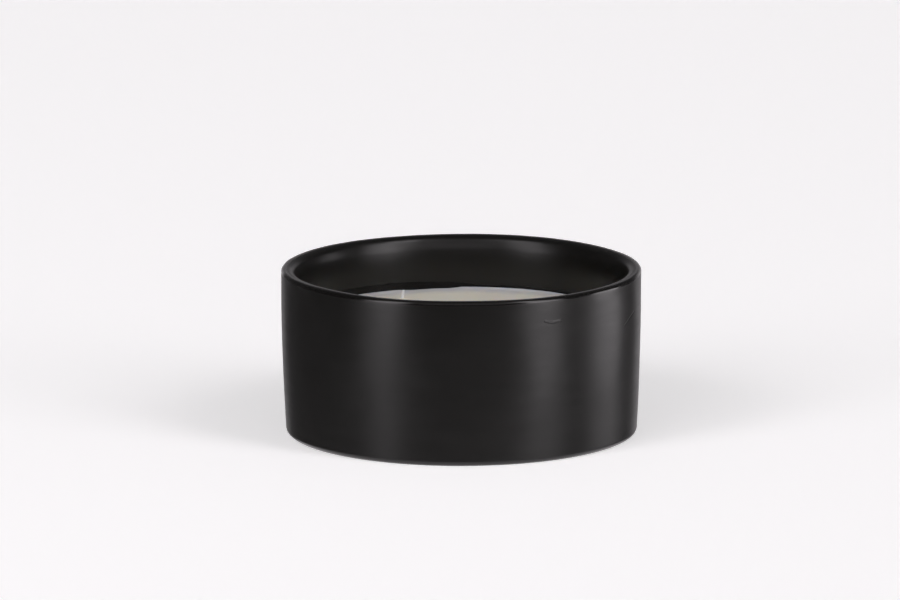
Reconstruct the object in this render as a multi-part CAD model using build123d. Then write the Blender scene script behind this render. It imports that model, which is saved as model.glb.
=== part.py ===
from build123d import *

# A candle of three wicks, poured into a low, wide ceramic bowl.
#
# The frame: millimetres, +Z up, -Y the front, origin at the centre of the foot ring's underside.
# Each piece is a solid of its own, written to parts/NODE.step:
#
#   bowl             slip-cast ceramic bowl with a rounded rim and a foot ring
#   wax_fill         wax, poured around the wicks and set
#   wick_N           flat braided cotton wick, trimmed a few millimetres above the wax
#   wick_tab_N       tinned steel sustainer, its neck crimped onto the wick
#   wick_pad_N       foam dot with adhesive on both faces, holding the tab to the bowl's floor

import os
from math import cos, radians, sin, tan

# The bowl's outside.
HEIGHT = 69.3
RIM_RADIUS = 75.0
CORNER_RADIUS = 73.2  # where the wall would meet the ground without its bottom rounding
WALL_BULGE = 0.6  # the wall's middle, out from a straight taper
BOTTOM_ROUNDING = 2.3
RIM_OUTER_ROUNDING = 1.3
FOOT_RING_WIDTH = 6.0
FOOT_RECESS_DEPTH = 1.6
FOOT_RECESS_SLOPE = 1.6  # how far the ring's inner side leans in over its depth

# The bowl's inside. Its wall flares out into the rim, first gently and then more.
WALL = 7.1
FLOOR_THICKNESS = 5.0
FLOOR_ROUNDING = 4.4
RIM_INNER_ROUNDING = 3.3
# For each stretch of the flare, upwards: how far below the rim it would start if nothing were
# rounded, its angle off upright and the rounding at its start.
FLARES = (
    (10.6, 7.0, 70.0),
    (4.2, 20.0, 18.0),
)

WAX_LEVEL = 47.0

# The wicks, each an oval in section, upright in the wax and leaning above it.
WICK_CIRCLE_RADIUS = 52.2
FIRST_WICK_ANGLE = 118.4  # anticlockwise from +X
WICK_WIDTH = 2.0
WICK_THICKNESS = 1.15
WICK_BEND_HEIGHT = 0.8  # above the wax, where the lean starts
WICK_BEND_RADIUS = 6.0
# For each wick: the direction of its wide side, its lean off upright and the direction of
# that lean, in degrees, and the height of its tip above the wax.
WICKS = (
    (78.0, 7.0, 0.0, 3.7),
    (15.0, 6.0, 150.0, 3.4),
    (140.0, 8.0, 250.0, 3.6),
)

# The wick tabs, pressed from sheet.
TAB_RADIUS = 10.0
TAB_SHEET = 0.3
TAB_BEAD_RADIUS = 7.0
TAB_BEAD_ROUNDING = 0.3  # inside the bead
TAB_CONE_RADIUS = 3.3  # inside the cone, where it meets the disc
TAB_CONE_HEIGHT = 1.3
TAB_NECK_HEIGHT = 6.0

PAD_RADIUS = 9.0
PAD_THICKNESS = 1.0

# What follows from these.
WICK_NUMBERS = range(1, len(WICKS) + 1)
FLOOR_Z = FOOT_RECESS_DEPTH + FLOOR_THICKNESS
TAB_Z = FLOOR_Z + PAD_THICKNESS

UPWARDS = (Align.CENTER, Align.CENTER, Align.MIN)
BEYOND = 4 * RIM_RADIUS  # more than the bowl's size in any direction


def above(z):
    """All the space above a height."""
    return Pos(0, 0, z) * Box(BEYOND, BEYOND, BEYOND, align=UPWARDS)


def wall_curve(inset):
    """The wall's slightly bulging side, moved in from its outer face by inset."""
    middle_radius = (CORNER_RADIUS + RIM_RADIUS) / 2 + WALL_BULGE
    return ThreePointArc(
        (CORNER_RADIUS - inset, 0),
        (middle_radius - inset, HEIGHT / 2),
        (RIM_RADIUS - inset, HEIGHT),
    )


def corner(outline, x, y):
    """The corner of a flat outline that is nearest to x, y."""
    return outline.vertices().sort_by_distance((x, y, 0))[0]


def turned(outline):
    """An outline of radius and height, turned about the Z axis."""
    return revolve(Plane.XZ * outline, Axis.Z, 360)


def bowl_outside():
    """The bowl as if it were solid, with its rim, its bottom corner and its foot ring."""
    ring_outer = CORNER_RADIUS - BOTTOM_ROUNDING
    ring_inner = ring_outer - FOOT_RING_WIDTH
    bottom = Polyline(
        (0, HEIGHT),
        (0, FOOT_RECESS_DEPTH),
        (ring_inner - FOOT_RECESS_SLOPE, FOOT_RECESS_DEPTH),
        (ring_inner, 0),
        (CORNER_RADIUS, 0),
    )
    top = Line((RIM_RADIUS, HEIGHT), (0, HEIGHT))
    outline = make_face(Curve() + [bottom, wall_curve(0), top])
    outline = fillet(corner(outline, CORNER_RADIUS, 0), BOTTOM_ROUNDING)
    outline = fillet(corner(outline, RIM_RADIUS, HEIGHT), RIM_OUTER_ROUNDING)
    return turned(outline)


def flare_corners():
    """The corners of the flare's outline, from its start up to the plane of the rim."""
    start_z = HEIGHT - FLARES[0][0]
    x = (wall_curve(WALL) & Line((0, start_z), (BEYOND, start_z))).vertices()[0].X
    corners = [(x, start_z)]
    ends = [start for start, _, _ in FLARES[1:]] + [0.0]
    for (start, angle, _), end in zip(FLARES, ends):
        x += (start - end) * tan(radians(angle))
        corners.append((x, HEIGHT - end))
    return corners


def bowl_inside():
    """The space in the bowl, from its floor to the plane of the rim."""
    middle = Polyline(
        (RIM_RADIUS - WALL, HEIGHT),
        (0, HEIGHT),
        (0, 0),
        (CORNER_RADIUS - WALL, 0),
    )
    outline = make_face(Curve() + [middle, wall_curve(WALL)])
    outline &= Pos(0, FLOOR_Z) * Rectangle(BEYOND, BEYOND, align=(Align.CENTER, Align.MIN))
    flare = flare_corners()
    outline += make_face(Polyline(*flare, (0, HEIGHT), (0, flare[0][1]), close=True))
    outline = fillet(corner(outline, CORNER_RADIUS, FLOOR_Z), FLOOR_ROUNDING)
    for (x, z), (_, _, rounding) in zip(flare, FLARES):
        outline = fillet(corner(outline, x, z), rounding)
    return turned(outline)


def bowl():
    body = bowl_outside() - bowl_inside()
    top_edges = body.edges().filter_by(GeomType.CIRCLE).group_by(Axis.Z)[-1]
    inner_edge = top_edges.sort_by(SortBy.RADIUS)[0]
    return fillet(inner_edge, RIM_INNER_ROUNDING)


def wick_place(number):
    """Where a wick stands on the bowl's floor."""
    angle = radians(FIRST_WICK_ANGLE + 360 * (number - 1) / len(WICKS))
    return Pos(WICK_CIRCLE_RADIUS * cos(angle), WICK_CIRCLE_RADIUS * sin(angle), 0)


def wick_oval(number, margin=0.0):
    """The wick's section, or one that is larger by a margin all round."""
    wide_side = WICKS[number - 1][0]
    return Rot(0, 0, wide_side) * Ellipse(WICK_WIDTH / 2 + margin, WICK_THICKNESS / 2 + margin)


def wick(number):
    _, lean, heading, tip_height = WICKS[number - 1]
    bend_z = WAX_LEVEL + WICK_BEND_HEIGHT
    tip_rise = tip_height - WICK_BEND_HEIGHT
    tip_reach = tip_rise * tan(radians(lean))
    tip_x = tip_reach * cos(radians(heading))
    tip_y = tip_reach * sin(radians(heading))
    path = FilletPolyline(
        (0, 0, TAB_Z),
        (0, 0, bend_z),
        (tip_x, tip_y, bend_z + tip_rise),
        radius=WICK_BEND_RADIUS,
    )
    return wick_place(number) * sweep(Pos(0, 0, TAB_Z) * wick_oval(number), path)


def tab_form(number, skin):
    """The form that a tab is pressed over, with a skin of some thickness over all of it."""
    bead = above(0) & Torus(TAB_BEAD_RADIUS, TAB_BEAD_ROUNDING + skin)
    neck_oval = Pos(0, 0, TAB_CONE_HEIGHT) * wick_oval(number, skin)
    cone = loft([Circle(TAB_CONE_RADIUS + skin), neck_oval])
    neck = extrude(neck_oval, TAB_NECK_HEIGHT - TAB_CONE_HEIGHT)
    return bead + cone + neck


def tab_outside(number):
    """The tab's outer form in its place, with nothing hollow."""
    disc = extrude(Circle(TAB_RADIUS), TAB_SHEET)
    return wick_place(number) * Pos(0, 0, TAB_Z) * (disc + tab_form(number, TAB_SHEET))


def wick_tab(number):
    hollow = wick_place(number) * Pos(0, 0, TAB_Z) * tab_form(number, 0.0)
    return tab_outside(number) - hollow


def wick_pad(number):
    dot = Cylinder(PAD_RADIUS, PAD_THICKNESS, align=UPWARDS)
    return wick_place(number) * Pos(0, 0, FLOOR_Z) * dot


def wax_fill():
    """Everything in the bowl below the wax's level that isn't a wick, a tab or a pad."""
    wax = bowl_inside() - above(WAX_LEVEL)
    for number in WICK_NUMBERS:
        wax -= wick_pad(number)
        wax -= tab_outside(number)
        wax -= wick(number)
    return wax


pieces = {"bowl": bowl(), "wax_fill": wax_fill()}
for number in WICK_NUMBERS:
    pieces[f"wick_{number}"] = wick(number)
    pieces[f"wick_tab_{number}"] = wick_tab(number)
    pieces[f"wick_pad_{number}"] = wick_pad(number)

os.makedirs("parts", exist_ok=True)
for name, piece in pieces.items():
    export_step(piece, f"parts/{name}.step")
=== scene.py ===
"""Looks for a candle of three wicks, poured into a low black ceramic bowl.

The bowl, the wax and the wicks are modelled here as meshes that stand for their CAD nodes.
The wick tabs and their pads keep their CAD shapes. Lengths are in millimetres until a mesh is
made, which is in metres, in the CAD's own frame: +Z up, -Y the front, origin under the bowl.
"""

import math
import random

import bmesh
import bpy
from mathutils import Matrix, Vector


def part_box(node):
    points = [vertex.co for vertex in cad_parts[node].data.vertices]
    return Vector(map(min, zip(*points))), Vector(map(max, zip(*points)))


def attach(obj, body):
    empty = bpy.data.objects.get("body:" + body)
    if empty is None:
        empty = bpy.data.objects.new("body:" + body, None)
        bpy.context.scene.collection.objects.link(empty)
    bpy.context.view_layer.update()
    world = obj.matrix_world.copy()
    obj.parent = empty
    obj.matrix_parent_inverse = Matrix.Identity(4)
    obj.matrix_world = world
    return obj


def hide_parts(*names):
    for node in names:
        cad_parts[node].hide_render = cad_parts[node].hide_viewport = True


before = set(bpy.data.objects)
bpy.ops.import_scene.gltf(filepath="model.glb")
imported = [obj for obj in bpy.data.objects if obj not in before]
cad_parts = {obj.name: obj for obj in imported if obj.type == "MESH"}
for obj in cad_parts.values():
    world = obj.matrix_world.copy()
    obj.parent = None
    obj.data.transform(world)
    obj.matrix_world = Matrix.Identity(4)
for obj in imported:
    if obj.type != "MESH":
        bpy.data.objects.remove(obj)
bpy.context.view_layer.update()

MM = 0.001
ROOT = "root"

# ---------------------------------------------------------------- camera

CAMERA_DISTANCE = 4.0
CAMERA_ELEVATION = math.radians(11.57)
CAMERA_CENTRE_HEIGHT = 0.035  # the height of the point that the distance is measured from
CAMERA_AIM = Vector((-0.00475, 0.0041, 0.05455))
CAMERA_ROLL = math.radians(-0.109)
LENS = 383.2
SENSOR = 36.0
VIEW_END = 40.0


def add_camera():
    data = bpy.data.cameras.new("camera")
    data.lens = LENS
    data.sensor_width = SENSOR
    data.clip_end = VIEW_END
    camera = bpy.data.objects.new("camera", data)
    bpy.context.collection.objects.link(camera)
    camera.location = (
        0.0,
        -CAMERA_DISTANCE * math.cos(CAMERA_ELEVATION),
        CAMERA_DISTANCE * math.sin(CAMERA_ELEVATION) + CAMERA_CENTRE_HEIGHT,
    )
    look = CAMERA_AIM - camera.location
    roll = Matrix.Rotation(CAMERA_ROLL, 4, "Z")
    camera.rotation_euler = (look.to_track_quat("-Z", "Y").to_matrix().to_4x4() @ roll).to_euler()
    bpy.context.scene.camera = camera


add_camera()

# ---------------------------------------------------------------- sizes, from the CAD frame

wax_low, wax_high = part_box("wax_fill")

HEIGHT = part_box("bowl")[1].z / MM
RIM_RADIUS = 75.0
CORNER_RADIUS = 73.2  # where the wall would meet the ground without its bottom rounding
WALL_BULGE = 0.6
WALL = 7.1
BOTTOM_ROUNDING = 2.3
RIM_OUTER_ROUNDING = 1.3
RIM_INNER_ROUNDING = 3.3
# For each stretch of the flare, upwards: its start below the rim, its angle and its rounding.
FLARES = (
    (10.6, 7.0, 70.0),
    (4.2, 20.0, 18.0),
)
FOOT_RING_WIDTH = 6.0
FOOT_RECESS_DEPTH = 1.6
FOOT_RECESS_SLOPE = 1.6
FLOOR_Z = wax_low.z / MM
FLOOR_ROUNDING = 4.4
WAX_LEVEL = wax_high.z / MM

WICK_CIRCLE_RADIUS = 52.2
FIRST_WICK_ANGLE = 118.4
WICK_WIDTH = 2.0
WICK_THICKNESS = 1.15
WICK_BEND_HEIGHT = 0.8
# For each wick: its wide side's direction, its lean and the lean's direction, in degrees.
WICKS = (
    (78.0, 7.0, 0.0),
    (15.0, 6.0, 150.0),
    (140.0, 8.0, 250.0),
)
WICK_NUMBERS = range(1, len(WICKS) + 1)
TAB_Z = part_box("wick_tab_1")[0].z / MM


def wick_place(number):
    angle = math.radians(FIRST_WICK_ANGLE + 360 * (number - 1) / len(WICKS))
    return Vector((WICK_CIRCLE_RADIUS * math.cos(angle), WICK_CIRCLE_RADIUS * math.sin(angle)))


# ---------------------------------------------------------------- mesh helpers


def smoothstep(low, high, value):
    t = min(1.0, max(0.0, (value - low) / (high - low)))
    return t * t * (3 - 2 * t)


def make_object(name, bm, *materials):
    """A smooth-shaded object from a bmesh in millimetres."""
    bmesh.ops.scale(bm, vec=(MM, MM, MM), verts=bm.verts)
    bmesh.ops.recalc_face_normals(bm, faces=bm.faces)
    mesh = bpy.data.meshes.new(name)
    bm.to_mesh(mesh)
    bm.free()
    for polygon in mesh.polygons:
        polygon.use_smooth = True
    for material in materials:
        mesh.materials.append(material)
    obj = bpy.data.objects.new(name, mesh)
    bpy.context.collection.objects.link(obj)
    return obj


def lathe(bm, profile, segments, move=lambda r, z, angle: (r, z)):
    """Turns a profile of (radius, height) that starts and ends on the axis into a closed skin.

    move gives each point its own radius and height, for what isn't perfectly round."""
    rings = []
    for r, z in profile:
        if r == 0.0:
            rings.append([bm.verts.new((0.0, 0.0, move(0.0, z, 0.0)[1]))])
            continue
        ring = []
        for i in range(segments):
            angle = 2 * math.pi * i / segments
            moved_r, moved_z = move(r, z, angle)
            ring.append(
                bm.verts.new((moved_r * math.cos(angle), moved_r * math.sin(angle), moved_z))
            )
        rings.append(ring)
    for one, two in zip(rings, rings[1:]):
        for i in range(segments):
            j = (i + 1) % segments
            corners = [one[i % len(one)], one[j % len(one)], two[j % len(two)], two[i % len(two)]]
            bm.faces.new(list(dict.fromkeys(corners)))


def arc(centre_r, centre_z, radius, start, end, steps):
    """Points of a circular arc in the plane of radius and height, angles in degrees."""
    points = []
    for i in range(steps + 1):
        angle = math.radians(start + (end - start) * i / steps)
        points.append((centre_r + radius * math.cos(angle), centre_z + radius * math.sin(angle)))
    return points


def rounded(corners, steps):
    """The arcs at the inner corners of a path, whose corners are (radius, height, rounding)."""
    points = []
    for before, corner, after in zip(corners, corners[1:], corners[2:]):
        tip = Vector(corner[:2])
        rounding = corner[2]
        back = (Vector(before[:2]) - tip).normalized()
        ahead = (Vector(after[:2]) - tip).normalized()
        half = back.angle(ahead) / 2
        start = tip + back * rounding / math.tan(half)
        end = tip + ahead * rounding / math.tan(half)
        centre = tip + (back + ahead).normalized() * rounding / math.sin(half)
        for i in range(steps + 1):
            spoke = start.lerp(end, i / steps) - centre
            points.append(tuple(centre + spoke.normalized() * rounding))
    return points


class Ripple:
    """A smooth, repeatable unevenness over an angle about Z and a height or a radius."""

    def __init__(self, seed, waves, turns, height_wave, size):
        chance = random.Random(seed)
        self.terms = []
        for _ in range(waves):
            count = chance.randint(*turns)
            per_mm = chance.uniform(-1.0, 1.0) * 2 * math.pi / height_wave
            self.terms.append((count, per_mm, chance.uniform(0.0, 2 * math.pi)))
        self.size = size / math.sqrt(waves / 2)

    def __call__(self, angle, z=0.0):
        total = sum(math.sin(n * angle + k * z + phase) for n, k, phase in self.terms)
        return self.size * total


# ---------------------------------------------------------------- shader helpers


NUMBER_FROM_VECTORS = ("DOT_PRODUCT", "DISTANCE", "LENGTH")


class Nodes:
    """A node tree that is filled one call at a time."""

    def __init__(self, tree):
        self.tree = tree
        self.tree.nodes.clear()

    def add(self, kind, inputs=None, **settings):
        node = self.tree.nodes.new(kind)
        for key, value in settings.items():
            setattr(node, key, value)
        for key, value in (inputs or {}).items():
            self.put(node.inputs[key], value)
        return node

    def put(self, socket, value):
        if isinstance(value, bpy.types.NodeSocket):
            self.tree.links.new(value, socket)
        else:
            socket.default_value = value

    def math(self, operation, *values):
        node = self.add("ShaderNodeMath", dict(enumerate(values)), operation=operation)
        return node.outputs[0]

    def vector(self, operation, *vectors):
        node = self.add("ShaderNodeVectorMath", dict(enumerate(vectors)), operation=operation)
        return node.outputs["Value" if operation in NUMBER_FROM_VECTORS else "Vector"]

    def ramp(self, value, low, high, to_low=0.0, to_high=1.0, smooth=True):
        node = self.add(
            "ShaderNodeMapRange",
            {
                "Value": value,
                "From Min": low,
                "From Max": high,
                "To Min": to_low,
                "To Max": to_high,
            },
            interpolation_type="SMOOTHSTEP" if smooth else "LINEAR",
        )
        return node.outputs[0]


class Shader(Nodes):
    """A material."""

    def __init__(self, name):
        self.material = bpy.data.materials.new(name)
        self.material.use_nodes = True
        super().__init__(self.material.node_tree)
        self.output = self.add("ShaderNodeOutputMaterial")

    def place(self, scale=(1.0, 1.0, 1.0)):
        """The position on the object in millimetres, times a scale."""
        coordinates = self.add("ShaderNodeTexCoord").outputs["Object"]
        node = self.add(
            "ShaderNodeVectorMath",
            {0: coordinates, 1: tuple(s / MM for s in scale)},
            operation="MULTIPLY",
        )
        return node.outputs[0]

    def noise(self, vector, scale, detail=2.0, roughness=0.5, distortion=0.0):
        node = self.add(
            "ShaderNodeTexNoise",
            {
                "Vector": vector,
                "Scale": scale,
                "Detail": detail,
                "Roughness": roughness,
                "Distortion": distortion,
            },
        )
        return node.outputs["Fac"]

    def spots(self, vector, scale, feature="F1"):
        node = self.add(
            "ShaderNodeTexVoronoi", {"Vector": vector, "Scale": scale}, feature=feature
        )
        return node.outputs["Distance"]

    def stroke(self, flat, points, inner, outer):
        """1 on a line through points of a flat vector, falling to 0 at the outer distance."""
        total = None
        for start, end in zip(points, points[1:]):
            start = Vector((*start, 0.0))
            run = Vector((*end, 0.0)) - start
            from_start = self.vector("SUBTRACT", flat, start)
            along = self.vector("DOT_PRODUCT", from_start, run / run.length_squared)
            along = self.ramp(along, 0.0, 1.0, 0.0, 1.0, False)
            nearest = self.add("ShaderNodeVectorMath", {0: run, "Scale": along}, operation="SCALE")
            away = self.vector("DISTANCE", from_start, nearest.outputs[0])
            part = self.ramp(away, inner, outer, 1.0, 0.0)
            total = part if total is None else self.math("MAXIMUM", total, part)
        return total

    def mix_colors(self, factor, one, two):
        node = self.tree.nodes.new("ShaderNodeMix")
        node.data_type = "RGBA"
        self.put(node.inputs[0], factor)
        self.put(node.inputs[6], (*one, 1.0) if isinstance(one, tuple) else one)
        self.put(node.inputs[7], (*two, 1.0) if isinstance(two, tuple) else two)
        return node.outputs[2]

    def bump(self, height, distance_mm, strength=1.0, under=None):
        inputs = {"Height": height, "Distance": distance_mm * MM, "Strength": strength}
        if under is not None:
            inputs["Normal"] = under
        return self.add("ShaderNodeBump", inputs).outputs["Normal"]

    def finish(self, inputs):
        surface = self.add("ShaderNodeBsdfPrincipled", inputs)
        self.tree.links.new(surface.outputs[0], self.output.inputs["Surface"])
        return self.material


# ---------------------------------------------------------------- materials

FLOOR_GLOW = 0.41


def on_wall(azimuth, z):
    """A place on the bowl's outside: its way round from the front, and its height."""
    return (math.radians(azimuth) * RIM_RADIUS, z)


# Marks on the outside: a short run in the glaze that curves like a smile, and a scratch. Each is
# full strength up to one distance from its line, and fades out by the other.
GLAZE_RUN = (on_wall(27.4, 59.7), on_wall(29.9, 58.8), on_wall(32.9, 59.2))
GLAZE_RUN_WIDTH = (0.15, 0.75)
GLAZE_SCRATCH = (on_wall(72.9, 54.9), on_wall(69.0, 53.5), on_wall(64.4, 51.1))
GLAZE_SCRATCH_WIDTH = (0.1, 0.55)

# The film of wax on the inner wall, where the wall is also painted darker as a painted shade along
# the wax's edge:
# its ragged top over the wax, and how much higher it is at the back left, where it slopes down
# between two places across the bowl.
FILM_TOP = (1.4, 2.0)
FILM_EXTRA = 1.9
FILM_SLOPE = (-22.0, 12.0)
FILM_EDGE = 0.7  # half the width of the film's soft edge


def glaze_material():
    """Black satin glaze: a fine peel, faint turning lines, a few pinholes and two old marks.

    It is glossiest round the rim's outer edge, where it runs thin. Over the wax's edge a film of wax
    wets the inner wall and makes it glossier, and there the wall is also painted darker, a painted
    shade along the wax's edge."""
    shader = Shader("black_satin_glaze")
    place = shader.place()
    x, y, z = shader.add("ShaderNodeSeparateXYZ", {0: place}).outputs
    clouds = shader.noise(place, 0.035, 3.0)
    lines = shader.noise(shader.place((0.12, 0.12, 1.0)), 0.32, 3.0, 0.55)
    peel = shader.noise(place, 1.1, 2.0)
    pits = shader.ramp(shader.spots(place, 0.16), 0.02, 0.05)

    azimuth = shader.math("ARCTAN2", x, shader.math("MULTIPLY", y, -1.0))
    around = shader.math("MULTIPLY", azimuth, RIM_RADIUS)
    flat = shader.add("ShaderNodeCombineXYZ", {0: around, 1: z}).outputs[0]
    radius = shader.vector("LENGTH", shader.add("ShaderNodeCombineXYZ", {0: x, 1: y}).outputs[0])
    outside = shader.ramp(radius, RIM_RADIUS - WALL, RIM_RADIUS - 1.0)
    smile = shader.stroke(flat, GLAZE_RUN, *GLAZE_RUN_WIDTH)
    smile = shader.math("MULTIPLY", smile, outside)
    scratch = shader.stroke(flat, GLAZE_SCRATCH, *GLAZE_SCRATCH_WIDTH)
    scratch = shader.math("MULTIPLY", scratch, outside)

    ragged = shader.noise(shader.place((1.0, 1.0, 0.0)), 0.07, 3.0, 0.5)
    film_top = shader.math(
        "ADD",
        shader.ramp(ragged, 0.35, 0.65, WAX_LEVEL + FILM_TOP[0], WAX_LEVEL + FILM_TOP[1]),
        shader.ramp(x, *FILM_SLOPE, FILM_EXTRA, 0.0),
    )
    below = shader.math("SUBTRACT", film_top, z)
    wax_film_and_shade = shader.ramp(below, -FILM_EDGE, FILM_EDGE)
    wax_film_and_shade = shader.math("MULTIPLY", wax_film_and_shade, shader.math("SUBTRACT", 1.0, outside))

    color = shader.mix_colors(clouds, (0.0026, 0.0024, 0.0020), (0.0036, 0.0033, 0.0028))
    # Painted shade: under the film's top the wall is painted darker, along the wax's edge.
    color = shader.mix_colors(wax_film_and_shade, color, (0.0020, 0.0019, 0.0017))
    color = shader.mix_colors(scratch, color, (0.0008, 0.0008, 0.0008))
    roughness = shader.math(
        "ADD",
        shader.ramp(clouds, 0.3, 0.7, 0.295, 0.325),
        shader.ramp(lines, 0.3, 0.7, -0.015, 0.015),
    )
    roughness = shader.math("SUBTRACT", roughness, shader.math("MULTIPLY", wax_film_and_shade, 0.11))
    rim_side = HEIGHT - RIM_OUTER_ROUNDING
    at_edge = shader.math(
        "MULTIPLY",
        shader.ramp(z, rim_side - 0.5, rim_side + 0.2),
        shader.ramp(radius, RIM_RADIUS - 2.6, RIM_RADIUS - 1.6),
    )
    roughness = shader.math("SUBTRACT", roughness, shader.math("MULTIPLY", at_edge, 0.17))
    thick = shader.math("MULTIPLY", shader.ramp(below, 0.0, 3.0, 0.0, 1.0, False), wax_film_and_shade)
    normal = shader.bump(lines, 0.05, 0.4)
    normal = shader.bump(peel, 0.01, 0.35, normal)
    normal = shader.bump(pits, 0.06, 0.6, normal)
    normal = shader.bump(thick, 0.30, 1.0, normal)
    normal = shader.bump(smile, 0.10, 1.0, normal)
    normal = shader.bump(shader.math("SUBTRACT", 1.0, scratch), 0.10, 1.0, normal)
    return shader.finish(
        {
            "Base Color": color,
            "Roughness": roughness,
            "Specular IOR Level": 0.37,
            "IOR": 1.5,
            "Normal": normal,
        }
    )


def clay_material():
    """Fired clay, left bare where the foot ring stood in the kiln."""
    shader = Shader("bare_stoneware")
    place = shader.place()
    grain = shader.noise(place, 2.2, 5.0, 0.65)
    grog = shader.ramp(shader.spots(place, 0.9), 0.10, 0.22)
    color = shader.mix_colors(grain, (0.30, 0.245, 0.19), (0.47, 0.40, 0.32))
    color = shader.mix_colors(grog, (0.16, 0.12, 0.09), color)
    return shader.finish(
        {"Base Color": color, "Roughness": 0.86, "Normal": shader.bump(grain, 0.06, 0.8)}
    )


def wax_material():
    """Poured cream wax: soft light inside, faint frosting and a skin that isn't quite smooth.

    Near the wall it is painted cooler and greyer, a painted shade where the bowl's wall shadows it."""
    shader = Shader("cream_wax")
    place = shader.place()
    radius = shader.vector("LENGTH", shader.place((1.0, 1.0, 0.0)))
    frost = shader.noise(place, 0.10, 5.0, 0.6, 0.4)
    mottle = shader.noise(place, 0.9, 3.0, 0.6)
    skin = shader.noise(place, 0.22, 2.0)
    fine = shader.noise(place, 3.5, 3.0, 0.6)
    color = shader.mix_colors(frost, (0.81, 0.79, 0.665), (0.85, 0.83, 0.705))
    color = shader.mix_colors(shader.ramp(mottle, 0.35, 0.75, 0.0, 0.35), color, (0.88, 0.86, 0.74))
    # Painted shade: the wax is painted cooler and greyer towards the wall, where the wall shadows
    # it.
    painted_shade_radius = shader.math("ADD", radius, shader.ramp(frost, 0.2, 0.8, -1.5, 1.5))
    color = shader.mix_colors(shader.ramp(painted_shade_radius, 56.0, 68.0), color, (0.59, 0.60, 0.59))
    normal = shader.bump(skin, 0.25, 0.5)
    normal = shader.bump(fine, 0.02, 0.6, normal)
    return shader.finish(
        {
            "Base Color": color,
            "Roughness": shader.ramp(frost, 0.3, 0.7, 0.42, 0.58),
            "Subsurface Weight": 0.6,
            "Subsurface Radius": (1.0, 0.78, 0.55),
            "Subsurface Scale": 0.0025,
            "IOR": 1.44,
            "Normal": normal,
        }
    )


def cotton_material():
    """Bleached cotton yarn with a thin coat of wax."""
    shader = Shader("waxed_cotton")
    place = shader.place()
    fibres = shader.noise(shader.place((9.0, 9.0, 1.6)), 1.6, 3.0, 0.7)
    patches = shader.noise(place, 1.1, 2.0)
    color = shader.mix_colors(fibres, (0.95, 0.94, 0.92), (0.98, 0.975, 0.965))
    color = shader.mix_colors(shader.ramp(patches, 0.4, 0.8, 0.0, 0.3), color, (0.93, 0.90, 0.84))
    return shader.finish(
        {
            "Base Color": color,
            "Roughness": 0.62,
            "Subsurface Weight": 0.35,
            "Subsurface Radius": (1.0, 0.8, 0.6),
            "Subsurface Scale": 0.0006,
            "Sheen Weight": 1.0,
            "Sheen Roughness": 0.5,
            "Normal": shader.bump(fibres, 0.03, 0.8),
        }
    )


def tinplate_material():
    """Tinned sheet steel: dull bright, with faint crystals and drawing marks."""
    shader = Shader("tinplate")
    place = shader.place()
    crystals = shader.spots(place, 0.5, "SMOOTH_F1")
    scratches = shader.noise(shader.place((0.6, 6.0, 0.6)), 1.5, 3.0, 0.6)
    color = shader.mix_colors(crystals, (0.58, 0.575, 0.56), (0.72, 0.715, 0.70))
    roughness = shader.math(
        "ADD",
        shader.ramp(crystals, 0.1, 0.7, 0.26, 0.36),
        shader.ramp(scratches, 0.3, 0.7, -0.04, 0.06),
    )
    return shader.finish(
        {
            "Base Color": color,
            "Metallic": 1.0,
            "Roughness": roughness,
            "Normal": shader.bump(scratches, 0.01, 0.4),
        }
    )


def foam_material():
    """White closed-cell foam, cut from a sheet."""
    shader = Shader("adhesive_foam")
    place = shader.place()
    cells = shader.spots(place, 3.0)
    tone = shader.noise(place, 0.5, 2.0)
    color = shader.mix_colors(tone, (0.74, 0.73, 0.70), (0.84, 0.83, 0.80))
    # Darker at the middle of each cell: a painted shade in the hollows of the open cells.
    color = shader.mix_colors(shader.ramp(cells, 0.0, 0.25, 0.5, 0.0), color, (0.55, 0.54, 0.52))
    return shader.finish(
        {"Base Color": color, "Roughness": 0.8, "Normal": shader.bump(cells, 0.08, 0.7)}
    )


def floor_material():
    """Pale paper that is lit a little from behind, so that shadows on it stay faint."""
    shader = Shader("studio_floor")
    return shader.finish(
        {
            "Base Color": (0.88, 0.88, 0.88, 1.0),
            "Roughness": 0.9,
            "Emission Color": (1.0, 1.0, 1.0, 1.0),
            "Emission Strength": FLOOR_GLOW,
        }
    )


# ---------------------------------------------------------------- the bowl

BOWL_SEGMENTS = 384
WALL_STEPS = 46
RIM_STEPS = 12
CORNER_STEPS = 10
BARE_HEIGHT = 0.06  # the glaze stops this far over the ground, round the foot ring

# The bowl's unevenness, each with its own seed: slow and fine waves of the wall, the height of the
# rim round the bowl, and the small waves of the rim's outline.
wall_ripple = Ripple(11, 14, (2, 9), 45.0, 0.07)
fine_ripple = Ripple(23, 18, (8, 34), 30.0, 0.012)
rim_ripple = Ripple(5, 12, (1, 7), 100.0, 0.07)
rim_shape_ripple = Ripple(31, 20, (6, 40), 20.0, 0.045)


def wall_radius(z):
    """The radius of the wall's outer face at a height."""
    t = z / HEIGHT
    return CORNER_RADIUS + (RIM_RADIUS - CORNER_RADIUS) * t + WALL_BULGE * 4 * t * (1 - t)


def spaced(start, end, steps):
    """Evenly spaced values between two ends, without the ends themselves."""
    return [start + (end - start) * (i + 1) / (steps + 1) for i in range(steps)]


def inner_wall_profile():
    """The inside of the bowl from below the rim's flare to the middle of its floor."""
    depth, angle, rounding = FLARES[0]
    top = HEIGHT - depth - rounding * math.tan(math.radians(angle / 2))
    points = [
        (wall_radius(z) - WALL, z) for z in spaced(top, FLOOR_Z + FLOOR_ROUNDING, WALL_STEPS)
    ]
    corner_r = wall_radius(FLOOR_Z + FLOOR_ROUNDING) - WALL - FLOOR_ROUNDING
    points += arc(corner_r, FLOOR_Z + FLOOR_ROUNDING, FLOOR_ROUNDING, 0, -90, CORNER_STEPS)
    points += [(corner_r * f, FLOOR_Z) for f in (0.8, 0.6, 0.4, 0.2)]
    return points + [(0.0, FLOOR_Z)]


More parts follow.
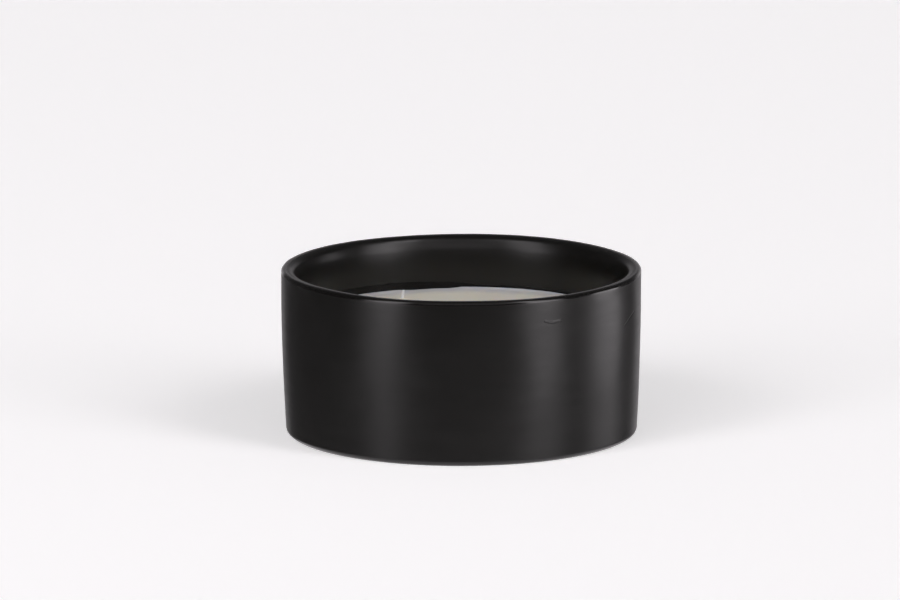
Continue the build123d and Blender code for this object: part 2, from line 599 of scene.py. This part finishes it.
def flare_profile():
    """The inner half of the rim: its rounding, then the flare down to the inner wall."""
    r = wall_radius(HEIGHT - FLARES[0][0]) - WALL
    upwards = [(r, HEIGHT / 2, 0.0)]
    ends = [start for start, _, _ in FLARES[1:]] + [0.0]
    for (start, angle, rounding), end in zip(FLARES, ends):
        upwards.append((r, HEIGHT - start, rounding))
        r += (start - end) * math.tan(math.radians(angle))
    upwards += [(r, HEIGHT, RIM_INNER_ROUNDING), (RIM_RADIUS, HEIGHT, 0.0)]
    return rounded(upwards[::-1], RIM_STEPS)


def bowl_profile():
    """The bowl's whole outline, from under its middle up over the rim to the floor inside."""
    ring_outer = CORNER_RADIUS - BOTTOM_ROUNDING
    ring_inner = ring_outer - FOOT_RING_WIDTH
    recess = ring_inner - FOOT_RECESS_SLOPE
    points = [(0.0, FOOT_RECESS_DEPTH)]
    points += [(recess * f, FOOT_RECESS_DEPTH) for f in (0.25, 0.5, 0.75, 0.97)]
    points += [(recess + 0.2, FOOT_RECESS_DEPTH - 0.1), (ring_inner - 0.25, 0.25)]
    points += [(ring_inner + 0.2, 0.0), (ring_inner + FOOT_RING_WIDTH / 2, 0.0)]
    points += [(ring_outer - 0.3, 0.0)]
    corner_r = wall_radius(BOTTOM_ROUNDING) - BOTTOM_ROUNDING
    points += arc(corner_r, BOTTOM_ROUNDING, BOTTOM_ROUNDING, -90, 0, RIM_STEPS)
    top_of_wall = HEIGHT - RIM_OUTER_ROUNDING
    points += [(wall_radius(z), z) for z in spaced(BOTTOM_ROUNDING, top_of_wall, WALL_STEPS)]
    edge_r = wall_radius(top_of_wall) - RIM_OUTER_ROUNDING
    points += arc(edge_r, top_of_wall, RIM_OUTER_ROUNDING, 0, 90, CORNER_STEPS)
    return points + flare_profile() + inner_wall_profile()


def uneven(r, z, angle):
    """The bowl's own small departures from a true turned shape.

    Its wall wanders less near the ground, and the middle of its floor and underside not at all."""
    high = smoothstep(8.0, 30.0, z)
    at_rim = smoothstep(HEIGHT - 5.0, HEIGHT - 0.5, z)
    side = smoothstep(60.0, 68.0, r)
    moved = wall_ripple(angle, z) * (0.35 + 0.65 * high) + fine_ripple(angle, z)
    outside = smoothstep(wall_radius(z) - WALL, wall_radius(z) - 1.0, r)
    moved += rim_shape_ripple(angle, z) * at_rim * (0.5 + 0.5 * outside)
    return r + moved * side, z + rim_ripple(angle) * smoothstep(20.0, HEIGHT, z)


def add_bowl(glaze, clay):
    """The bowl, glazed all over but for the face of its foot ring."""
    bm = bmesh.new()
    lathe(bm, bowl_profile(), BOWL_SEGMENTS, uneven)
    for face in bm.faces:
        if max(vert.co.z for vert in face.verts) < BARE_HEIGHT:
            face.material_index = 1
    bowl = make_object("bowl_body", bm, glaze, clay)
    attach(bowl, ROOT)
    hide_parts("bowl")


# ---------------------------------------------------------------- the wax

WAX_SEGMENTS = 288
WAX_RINGS = 60
WAX_SINK = 0.15  # how far the real wax, which shrinks as it sets, lies under its CAD level
WALL_CREEP = 0.75  # how far the wax creeps up the wall
WALL_CREEP_REACH = 1.1  # how far in from the wall most of that has gone
SLUMP = (-24.0, -2.0, 0.6)  # where it slid back down at the back, from x to x, and how far
WICK_CREEP = 0.55
WICK_CREEP_REACH = 0.9
WICK_RADIUS = 0.8  # about the wick's, for what the wax does round it
DIP_DEPTH = 0.12  # of the shallow ring where the wax shrank round a wick
DIP_RADIUS = 4.0
DIP_SPREAD = 2.0
wax_ripple = Ripple(3, 10, (1, 4), 60.0, 0.06)
creep_ripple = Ripple(8, 16, (1, 12), 60.0, 0.07)


def wax_height(x, y):
    """The height of the wax's top, which creeps up the wall and up each wick."""
    r = math.hypot(x, y)
    angle = math.atan2(y, x)
    edge = wall_radius(WAX_LEVEL) - WALL
    creep = WALL_CREEP + creep_ripple(angle)
    if y > 0.0:
        start, end, drop = SLUMP
        creep -= drop * smoothstep(start - 4.0, start + 4.0, x) * smoothstep(end + 3.0, end - 3.0, x)
    z = WAX_LEVEL - WAX_SINK + wax_ripple(angle, r) * smoothstep(0.0, 30.0, r)
    z += creep * math.exp(-max(0.0, edge - r) / WALL_CREEP_REACH)
    for number in WICK_NUMBERS:
        away = math.hypot(x - wick_place(number).x, y - wick_place(number).y)
        z += WICK_CREEP * math.exp(-max(0.0, away - WICK_RADIUS) / WICK_CREEP_REACH)
        z -= DIP_DEPTH * math.exp(-(((away - DIP_RADIUS) / DIP_SPREAD) ** 2) / 2)
    return z


def add_wax(material):
    """The wax, with a finer mesh near the wall and round the wicks, where its top curves."""
    edge = wall_radius(WAX_LEVEL) - WALL
    top = [(edge * ring / WAX_RINGS, WAX_LEVEL) for ring in range(WAX_RINGS - 2)]
    top += [(edge - gap, WAX_LEVEL) for gap in (2.6, 2.0, 1.5, 1.05, 0.7, 0.4, 0.18, 0.0)]
    side = [point for point in inner_wall_profile() if point[1] < WAX_LEVEL - 0.6]
    bm = bmesh.new()
    lathe(bm, top + side, WAX_SEGMENTS)
    near = []
    for face in bm.faces:
        middle = face.calc_center_median()
        away = min((middle.xy - wick_place(number)).length for number in WICK_NUMBERS)
        if middle.z > WAX_LEVEL - 0.1 and away < DIP_RADIUS:
            near.append(face)
    edges = list(dict.fromkeys(line for face in near for line in face.edges))
    bmesh.ops.subdivide_edges(bm, edges=edges, cuts=3, use_grid_fill=True)
    for vert in bm.verts:
        x, y, z = vert.co
        r = math.hypot(x, y)
        angle = math.atan2(y, x)
        if z > WAX_LEVEL - 0.01:
            z = wax_height(x, y)
        moved_r = uneven(r, z, angle)[0]
        vert.co = (moved_r * math.cos(angle), moved_r * math.sin(angle), z)
    wax = make_object("wax_body", bm, material)
    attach(wax, ROOT)
    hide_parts("wax_fill")


# ---------------------------------------------------------------- the wicks

STRANDS_EACH_WAY = 6
BRAID_TURN = 7.0  # the height of one turn of a strand
STRAND_HALF_WIDTH = 0.27
STRAND_HALF_DEPTH = 0.15
WEAVE_DEPTH = 0.11
STRAND_STEP = 0.3
STRAND_SIDES = 8
STRAND_CUT = (0.35, 0.6)  # how far under the CAD solid's tip the yarns end
CORE_HALF_WIDTH = WICK_WIDTH / 2 - 0.38
CORE_HALF_DEPTH = WICK_THICKNESS / 2 - 0.34
CORE_STEPS = 60
BEND_SOFTNESS = 0.6  # how gradually a wick starts to lean, in square millimetres
FIBRES = 26
FIBRE_LENGTH = (0.25, 0.6)
FIBRE_RADIUS = 0.022
FIBRE_STEPS = 6
FIBRE_CURL = 0.5


def wick_middle(number, z):
    """The middle of a wick at a height, which leans once it is out of the wax."""
    _, lean, heading = WICKS[number - 1]
    over = z - (WAX_LEVEL + WICK_BEND_HEIGHT)
    leaning = (over + math.sqrt(over * over + BEND_SOFTNESS)) / 2
    reach = math.tan(math.radians(lean)) * leaning
    place = wick_place(number)
    return Vector(
        (
            place.x + reach * math.cos(math.radians(heading)),
            place.y + reach * math.sin(math.radians(heading)),
            z,
        )
    )


def tube(bm, points, widths, out_of):
    """A closed tube of oval section along points. out_of(i) gives the oval's depth direction."""
    rings = []
    for i, point in enumerate(points):
        ahead = points[min(i + 1, len(points) - 1)]
        behind = points[max(i - 1, 0)]
        along = (ahead - behind).normalized()
        out = out_of(i)
        out = (out - along * out.dot(along)).normalized()
        side = along.cross(out)
        half_width, half_depth = widths(i)
        ring = []
        for k in range(STRAND_SIDES):
            turn = 2 * math.pi * k / STRAND_SIDES
            offset = side * half_width * math.cos(turn) + out * half_depth * math.sin(turn)
            ring.append(bm.verts.new(point + offset))
        rings.append(ring)
    for one, two in zip(rings, rings[1:]):
        for k in range(STRAND_SIDES):
            j = (k + 1) % STRAND_SIDES
            bm.faces.new((one[k], one[j], two[j], two[k]))
    bm.faces.new(rings[0][::-1])
    bm.faces.new(rings[-1])


def braid_strand(bm, number, strand, way, top):
    """One of the yarns that go round the wick, over one of the other way's and under the next."""
    wide_side = math.radians(WICKS[number - 1][0])
    steps = int((top - TAB_Z) / STRAND_STEP)
    heights = [TAB_Z + (top - TAB_Z) * i / steps for i in range(steps + 1)]
    points = []
    outs = []
    for z in heights:
        turn = way * 2 * math.pi * (z - TAB_Z) / BRAID_TURN
        turn += 2 * math.pi * strand / STRANDS_EACH_WAY
        crossing = STRANDS_EACH_WAY * (turn + way * 2 * math.pi * (z - TAB_Z) / BRAID_TURN)
        crossing /= 2 * math.pi
        over = way * math.cos(math.pi * (strand + crossing)) * WEAVE_DEPTH
        half_wide = WICK_WIDTH / 2 - STRAND_HALF_DEPTH - WEAVE_DEPTH + over
        half_thick = WICK_THICKNESS / 2 - STRAND_HALF_DEPTH - WEAVE_DEPTH + over
        flat = Vector((half_wide * math.cos(turn), half_thick * math.sin(turn), 0.0))
        out = Vector((math.cos(turn) / half_wide, math.sin(turn) / half_thick, 0.0))
        spin = Matrix.Rotation(wide_side, 3, "Z")
        points.append(wick_middle(number, z) + spin @ flat)
        outs.append(spin @ out)
    tube(bm, points, lambda i: (STRAND_HALF_WIDTH, STRAND_HALF_DEPTH), lambda i: outs[i])


def fibre(bm, chance, start, heading, length):
    """A stray cotton fibre that curls away from where the wick was cut."""
    points = [start]
    way = heading.normalized()
    for _ in range(FIBRE_STEPS):
        drift = Vector([chance.uniform(-FIBRE_CURL, FIBRE_CURL) for _ in range(3)])
        way = (way + drift).normalized()
        points.append(points[-1] + way * length / FIBRE_STEPS)
    across = way.orthogonal()
    tube(bm, points, lambda i: (FIBRE_RADIUS, FIBRE_RADIUS), lambda i: across)


def add_wick(number, material):
    chance = random.Random(100 + number)
    tip_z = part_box(f"wick_{number}")[1].z / MM
    bm = bmesh.new()
    for strand in range(STRANDS_EACH_WAY):
        for way in (1, -1):
            braid_strand(bm, number, strand, way, tip_z - chance.uniform(*STRAND_CUT))
    wide_side = Matrix.Rotation(math.radians(WICKS[number - 1][0]), 3, "Z")
    core_top = tip_z - STRAND_CUT[1]
    core = [
        wick_middle(number, TAB_Z + (core_top - TAB_Z) * i / CORE_STEPS)
        for i in range(CORE_STEPS + 1)
    ]
    depth_way = wide_side @ Vector((0.0, 1.0, 0.0))
    tube(bm, core, lambda i: (CORE_HALF_WIDTH, CORE_HALF_DEPTH), lambda i: depth_way)
    tip = wick_middle(number, core_top)
    for _ in range(FIBRES):
        turn = chance.uniform(0, 2 * math.pi)
        spread = chance.uniform(0.2, 1.0)
        offset = wide_side @ Vector(
            (
                (WICK_WIDTH / 2 - 0.3) * spread * math.cos(turn),
                (WICK_THICKNESS / 2 - 0.2) * spread * math.sin(turn),
                0.0,
            )
        )
        heading = offset * 0.9 + Vector((0.0, 0.0, 1.0))
        fibre(bm, chance, tip + offset, heading, chance.uniform(*FIBRE_LENGTH))
    wick = make_object(f"wick_braid_{number}", bm, material)
    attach(wick, ROOT)
    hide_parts(f"wick_{number}")


# ---------------------------------------------------------------- tabs and pads


def dress_cad_node(name, material):
    """Gives a CAD node that keeps its own shape its finished material."""
    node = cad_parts[name]
    node.data.materials.clear()
    node.data.materials.append(material)


# ---------------------------------------------------------------- studio


FLOOR_RADIUS = 20.0
LIGHT_COLOR = (1.0, 0.955, 0.985, 1.0)
BACKDROP_COLOR = (0.93, 0.93, 0.93, 1.0)
# The azimuths of the three main soft boxes.
LEFT = -50.5
RIGHT = 54.0
FAR = 106.0
ALL_ROUND = 400.0  # a half-width that leaves no gap
# Each patch of light: its azimuth, half its width, its lowest and its highest elevation, its
# strength and the softness of its edges. The first six are the two tall soft boxes at the front,
# each brighter near the ground, and the low one far right.
SOFT_BOXES = (
    (LEFT, 9.5, -12.0, 12.0, 4.0, 4.0),
    (LEFT + 3.0, 11.0, 12.0, 44.0, 3.1, 4.0),
    (RIGHT, 11.0, -12.0, 12.0, 5.6, 4.0),
    (RIGHT, 12.0, 12.0, 58.0, 3.8, 4.0),
    (FAR, 13.5, -12.0, -2.0, 4.5, 4.0),
    (FAR - 4.0, 9.0, -2.0, 12.0, 2.2, 4.0),
    # Dim light from the front, low and high.
    (5.0, 30.0, 8.0, 26.0, 0.9, 4.0),
    (0.0, 60.0, 34.0, 50.0, 0.9, 4.0),
    # The ceiling, a patch low behind the bowl, the walls and the bright ground.
    (0.0, ALL_ROUND, 30.0, 200.0, 0.13, 8.0),
    (177.0, 25.0, -20.0, 10.0, 0.5, 8.0),
    (0.0, ALL_ROUND, -22.0, 30.0, 0.09, 8.0),
    (0.0, ALL_ROUND, -200.0, -24.0, 1.4, 6.0),
)
LAMP_POWER = 21.0
LAMP_SIZE = 2.0
LAMP_PLACE = Vector((-1.5, -2.15, 1.6))


def add_floor():
    bm = bmesh.new()
    bmesh.ops.create_circle(bm, cap_ends=True, segments=96, radius=FLOOR_RADIUS / MM)
    floor = make_object("studio_floor", bm, floor_material())
    floor.visible_glossy = False


class Room(Nodes):
    """The studio around the bowl, as light that depends on where it comes from.

    Azimuths are degrees to the right of the front, and elevations degrees over the horizon."""

    def __init__(self):
        world = bpy.data.worlds.new("studio")
        bpy.context.scene.world = world
        world.use_nodes = True
        world.cycles.sampling_method = "NONE"
        super().__init__(world.node_tree)
        way = self.add("ShaderNodeTexCoord").outputs["Generated"]
        east, north, up = self.add("ShaderNodeSeparateXYZ", {0: way}).outputs
        south = self.math("MULTIPLY", north, -1.0)
        self.azimuth = self.math("DEGREES", self.math("ARCTAN2", east, south))
        self.elevation = self.math("DEGREES", self.math("ARCSINE", up))
        self.light = 0.0

    def soft_box(self, azimuth, half_width, low, high, strength, edge):
        """Adds a soft-edged patch of light between two elevations."""
        turn = self.math("WRAP", self.math("SUBTRACT", self.azimuth, azimuth), 180.0, -180.0)
        beside = self.math("ABSOLUTE", turn)
        patch = self.ramp(beside, half_width - edge, half_width + edge, strength, 0.0)
        patch = self.math("MULTIPLY", patch, self.ramp(self.elevation, low - edge, low + edge))
        over = self.ramp(self.elevation, high - edge, high + edge, 1.0, 0.0)
        self.light = self.math("ADD", self.light, self.math("MULTIPLY", patch, over))

    def finish(self):
        """Lights the scene, and shows a plain pale backdrop past the end of the floor."""
        room = self.add("ShaderNodeBackground", {"Color": LIGHT_COLOR, "Strength": self.light})
        backdrop = self.add("ShaderNodeBackground", {"Color": BACKDROP_COLOR})
        camera_ray = self.add("ShaderNodeLightPath").outputs["Is Camera Ray"]
        mix = self.add(
            "ShaderNodeMixShader", {0: camera_ray, 1: room.outputs[0], 2: backdrop.outputs[0]}
        )
        output = self.add("ShaderNodeOutputWorld")
        self.tree.links.new(mix.outputs[0], output.inputs["Surface"])


def add_room():
    room = Room()
    for soft_box in SOFT_BOXES:
        room.soft_box(*soft_box)
    room.finish()


def add_overhead_light():
    """A large, soft lamp for the wax and the wicks. It doesn't show in the glaze."""
    data = bpy.data.lights.new("overhead", "AREA")
    data.energy = LAMP_POWER
    data.size = LAMP_SIZE
    data.color = LIGHT_COLOR[:3]
    light = bpy.data.objects.new("overhead", data)
    light.location = LAMP_PLACE
    light.rotation_euler = (-LAMP_PLACE).to_track_quat("-Z", "Y").to_euler()
    light.visible_glossy = False
    bpy.context.collection.objects.link(light)


# ---------------------------------------------------------------- making it all

cotton = cotton_material()
tinplate = tinplate_material()
foam = foam_material()
add_bowl(glaze_material(), clay_material())
add_wax(wax_material())
for wick_number in WICK_NUMBERS:
    add_wick(wick_number, cotton)
    dress_cad_node(f"wick_tab_{wick_number}", tinplate)
    dress_cad_node(f"wick_pad_{wick_number}", foam)

add_floor()
add_room()
add_overhead_light()

bpy.context.scene.view_settings.view_transform = "Standard"
